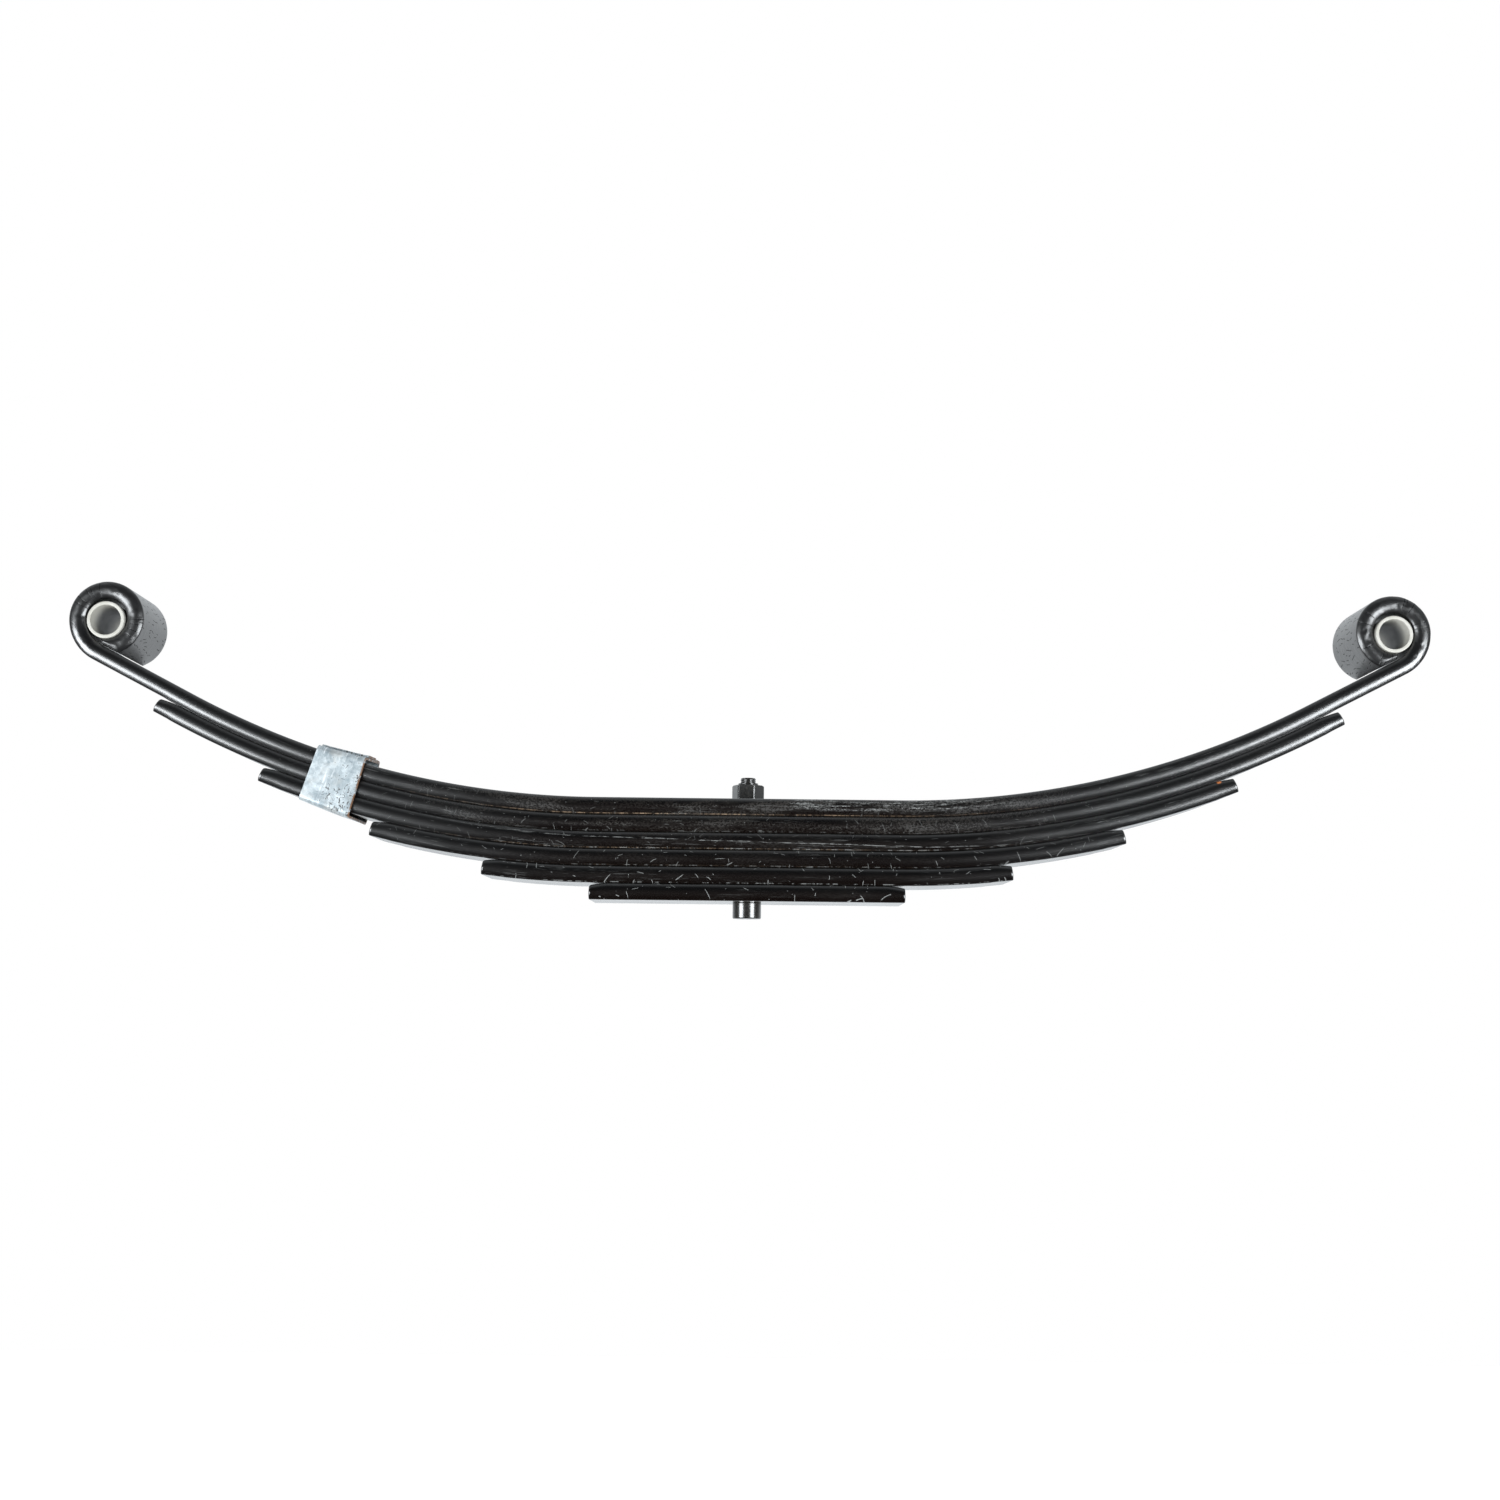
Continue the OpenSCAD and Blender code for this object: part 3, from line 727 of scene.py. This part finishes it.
def centre_bolt(name, material):
    """A cylinder-head bolt whose thread shows above the nut, with a shallow-threaded point."""
    head, top = BOLT_LOW.z, BOLT_HIGH.z
    head_round, neck_round = 0.7 * MM, 0.4 * MM
    rim = NUT_HIGH.z + THREAD_SHOWN
    profile = [(0.0, head), (HEAD_RADIUS * 0.55, head), (HEAD_RADIUS - 1.4 * head_round, head)]
    profile += arc_points((HEAD_RADIUS - head_round, head + head_round), head_round, -math.pi / 2, 0, 6)
    profile += [(HEAD_RADIUS, z) for z in np.linspace(head + 1.7 * head_round, -1.7 * neck_round, 8)]
    profile += arc_points((HEAD_RADIUS - neck_round, -0.7 * neck_round), neck_round, 0, math.pi / 2, 4)
    profile += [(SHANK_RADIUS, 0.1 * MM), (SHANK_RADIUS, NUT_LOW.z)]
    profile += [(SHANK_RADIUS, z) for z in np.linspace(NUT_LOW.z + 1 * MM, rim, 56)]
    profile += [(POINT_RADIUS, z) for z in np.linspace(rim + 0.12 * MM, top - 0.35 * MM, 22)]
    profile += [(POINT_RADIUS - 0.35 * MM, top), (POINT_RADIUS * 0.5, top), (0.0, top)]

    def wobble(angle, height):
        root = thread_wave(angle, height, THREAD_PITCH) - 1
        if NUT_HIGH.z <= height <= rim:
            return THICK_PAINT + 0.15 * MM * root
        if rim < height < top - 0.2 * MM:
            return 0.16 * MM * root
        return 0.0

    return lathe(name, profile, (0, 0, 0), "Z", material, 96, wobble, capped=True)


def centre_nut(name, material):
    """A hexagon nut with slightly rounded corners, chamfered above."""
    flats = NUT_FLATS / 2
    corner = flats / math.cos(math.pi / 6)
    bore = SHANK_RADIUS + 0.14 * MM
    chamfer = NUT_CHAMFER
    low, high = NUT_LOW.z, NUT_HIGH.z
    heights = [low, low + 0.15 * MM, *np.linspace(low + 1 * MM, high - chamfer, 6)]
    heights += list(np.linspace(high - 0.85 * chamfer, high - 0.1 * chamfer, 6)) + [high]
    angles = np.linspace(0, math.tau, 180, endpoint=False)
    rows = [(z, None) for z in heights] + [(high, bore), (low, bore)]
    points, rest = [], []
    for z, fixed in rows:
        for angle in angles:
            off = abs((angle - NUT_TURN + math.pi / 6) % (math.pi / 3) - math.pi / 6)
            face = flats / math.cos(math.pi / 6 - off)
            worn_corner = corner - NUT_CORNER_WEAR - 2 * MM * off**2
            cone = corner + 0.15 * MM - 1.2 * max(0.0, z - high + chamfer)
            radius = fixed if fixed is not None else min(face, worn_corner, cone)
            place = (radius * math.cos(angle), radius * math.sin(angle), z)
            points.append(place)
            rest.append(place)
    faces = tube_faces(len(rows), len(angles), closed=True)
    return mesh_piece(name, points, faces, rest, material, 5)


# ---------------------------------------------------------------- build
#                dust  haze  seam  dash  hair  scuff gouge cloud bloom peel  shift
PAINTS = {
    "main_leaf": (0.80, 0.80, 0.55, 0.00, 0.25, 0.30, 0.00, 1.00, 0.0, 0.9, 0.0),
    "second_leaf": (0.90, 0.60, 0.00, 0.20, 0.35, 0.15, 0.00, 0.00, 0.0, 0.8, 1.3),
    "third_leaf": (0.35, 0.20, 0.25, 0.50, 0.25, 0.35, 0.65, 0.00, 1.0, 0.8, 2.9),
    "fourth_leaf": (0.30, 0.10, 0.05, 0.30, 0.55, 0.15, 0.00, 0.00, 0.0, 0.6, 4.1),
    "fifth_leaf": (0.25, 0.05, 0.00, 0.60, 0.85, 0.15, 0.00, 0.00, 0.0, 0.5, 5.7),
    "sixth_leaf": (0.15, 0.10, 0.00, 0.00, 0.85, 0.10, 0.00, 0.00, 0.0, 0.5, 7.7),
}
paints = {leaf: spring_paint(f"{leaf}_paint", *values) for leaf, values in PAINTS.items()}
ARMS = ((-1, "left_eye"), (1, "right_eye"))

for leaf in LEAVES:
    for side, eye in ARMS:
        if leaf == "main_leaf":
            half = main_half(side, paints[leaf])
        else:
            half = short_half(leaf, side, paints[leaf])
        if leaf == "sixth_leaf":
            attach(half, "leaf_pack")
        else:
            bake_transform(half)
        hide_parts(leaf)

nylon = bushing_nylon("bushing_nylon")
for side, eye in ARMS:
    word = side_word(side)
    sleeve = bushing(f"{word}_bushing_tube", side, nylon)
    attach(sleeve, eye)
    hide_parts(f"{word}_bushing")

clip = strap_clip("strap_clip", clip_zinc("clip_zinc"))
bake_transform(clip)
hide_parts("rebound_clip")

fastener = fastener_paint("fastener_paint")
for make, node in ((centre_bolt, "centre_bolt"), (centre_nut, "centre_nut")):
    piece = make(f"{node}_painted", fastener)
    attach(piece, "leaf_pack")
    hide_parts(node)


# ---------------------------------------------------------------- stage, light and camera
SOFTBOX_ELEVATION = -9
SOFTBOX_DISTANCE = 2.8
SOFTBOX_SIZE = (1.5, 1.35)
SOFTBOX_WATTS = 94
SOFTBOX_COLOUR = (0.93, 0.97, 1.0)


def stage_floor():
    """A white floor far below, which is never seen in reflections."""
    size, level = 14.0, -2.7
    corners = [(-size, -size, level), (size, -size, level), (size, size, level), (-size, size, level)]
    g = Graph("floor_white")
    speckle = g.noise(g.node("ShaderNodeTexCoord").outputs["Object"], 3.0)
    colour = g.mix(speckle, (0.9, 0.9, 0.9, 1), (0.93, 0.93, 0.93, 1))
    material = g.finish(Base_Color=colour, Roughness=0.9, Emission_Color=(1, 1, 1, 1), Emission_Strength=0.7)
    floor = mesh_piece("floor", corners, [(0, 1, 2, 3)], corners, material)
    floor.visible_glossy = False


def softbox(name, azimuth):
    """A soft area light round the object's middle, a little below it. Azimuth 0 is in front of the object,
    positive to the right."""
    a, e = math.radians(azimuth), math.radians(SOFTBOX_ELEVATION)
    back = Vector((math.sin(a) * math.cos(e), -math.cos(a) * math.cos(e), math.sin(e)))
    light = bpy.data.lights.new(name, "AREA")
    light.shape = "RECTANGLE"
    light.size, light.size_y = SOFTBOX_SIZE
    light.energy = SOFTBOX_WATTS
    light.color = SOFTBOX_COLOUR
    lamp = bpy.data.objects.new(name, light)
    lamp.location = back * SOFTBOX_DISTANCE + Vector((0, 0, 0.06))
    lamp.rotation_euler = back.to_track_quat("Z", "Y").to_euler()
    lamp.visible_camera = False
    bpy.context.scene.collection.objects.link(lamp)


def studio_world():
    """White behind and above the spring and dark round the camera; the camera itself sees plain white."""
    world = bpy.data.worlds.new("studio")
    bpy.context.scene.world = world
    world.use_nodes = True
    tree = world.node_tree
    tree.nodes.clear()
    link = tree.links.new
    coordinates = tree.nodes.new("ShaderNodeTexCoord")
    parts = tree.nodes.new("ShaderNodeSeparateXYZ")
    link(coordinates.outputs["Generated"], parts.inputs[0])
    above = tree.nodes.new("ShaderNodeMath")
    above.operation = "MAXIMUM"
    above.inputs[1].default_value = 0.0
    link(parts.outputs["Z"], above.inputs[0])
    lean = tree.nodes.new("ShaderNodeMath")
    lean.operation = "MULTIPLY_ADD"
    lean.inputs[1].default_value = 0.9
    link(above.outputs[0], lean.inputs[0])
    link(parts.outputs["Y"], lean.inputs[2])
    ramp = tree.nodes.new("ShaderNodeMapRange")
    ramp.interpolation_type = "SMOOTHSTEP"
    for index, value in enumerate((-0.2, 1.0, 0.006, 0.9), start=1):
        ramp.inputs[index].default_value = value
    link(lean.outputs[0], ramp.inputs[0])
    lit, seen = tree.nodes.new("ShaderNodeBackground"), tree.nodes.new("ShaderNodeBackground")
    lit.inputs["Color"].default_value = (0.92, 0.965, 1.0, 1)
    seen.inputs["Color"].default_value = (1, 1, 1, 1)
    link(ramp.outputs[0], lit.inputs["Strength"])
    rays = tree.nodes.new("ShaderNodeLightPath")
    pick = tree.nodes.new("ShaderNodeMixShader")
    link(rays.outputs["Is Camera Ray"], pick.inputs[0])
    link(lit.outputs[0], pick.inputs[1])
    link(seen.outputs[0], pick.inputs[2])
    output = tree.nodes.new("ShaderNodeOutputWorld")
    link(pick.outputs[0], output.inputs[0])


def main_camera():
    """A short telephoto just below the spring, tilted up a little and rolled by under a degree."""
    data = bpy.data.cameras.new("camera")
    data.sensor_width = 36
    data.lens = 48.3
    data.clip_start, data.clip_end = 0.01, 100
    camera = bpy.data.objects.new("camera", data)
    camera.location = (0.0007, -1.0089, -0.0432)
    tilt = Matrix.Rotation(math.radians(90 + 6.8), 4, "X")
    roll = Matrix.Rotation(math.radians(0.65), 4, "Z")
    camera.rotation_euler = (tilt @ roll).to_euler()
    bpy.context.scene.collection.objects.link(camera)
    bpy.context.scene.camera = camera


stage_floor()
studio_world()
main_camera()
softbox("left_softbox", -46)
softbox("right_softbox", 44)
bpy.context.scene.view_settings.view_transform = "Standard"
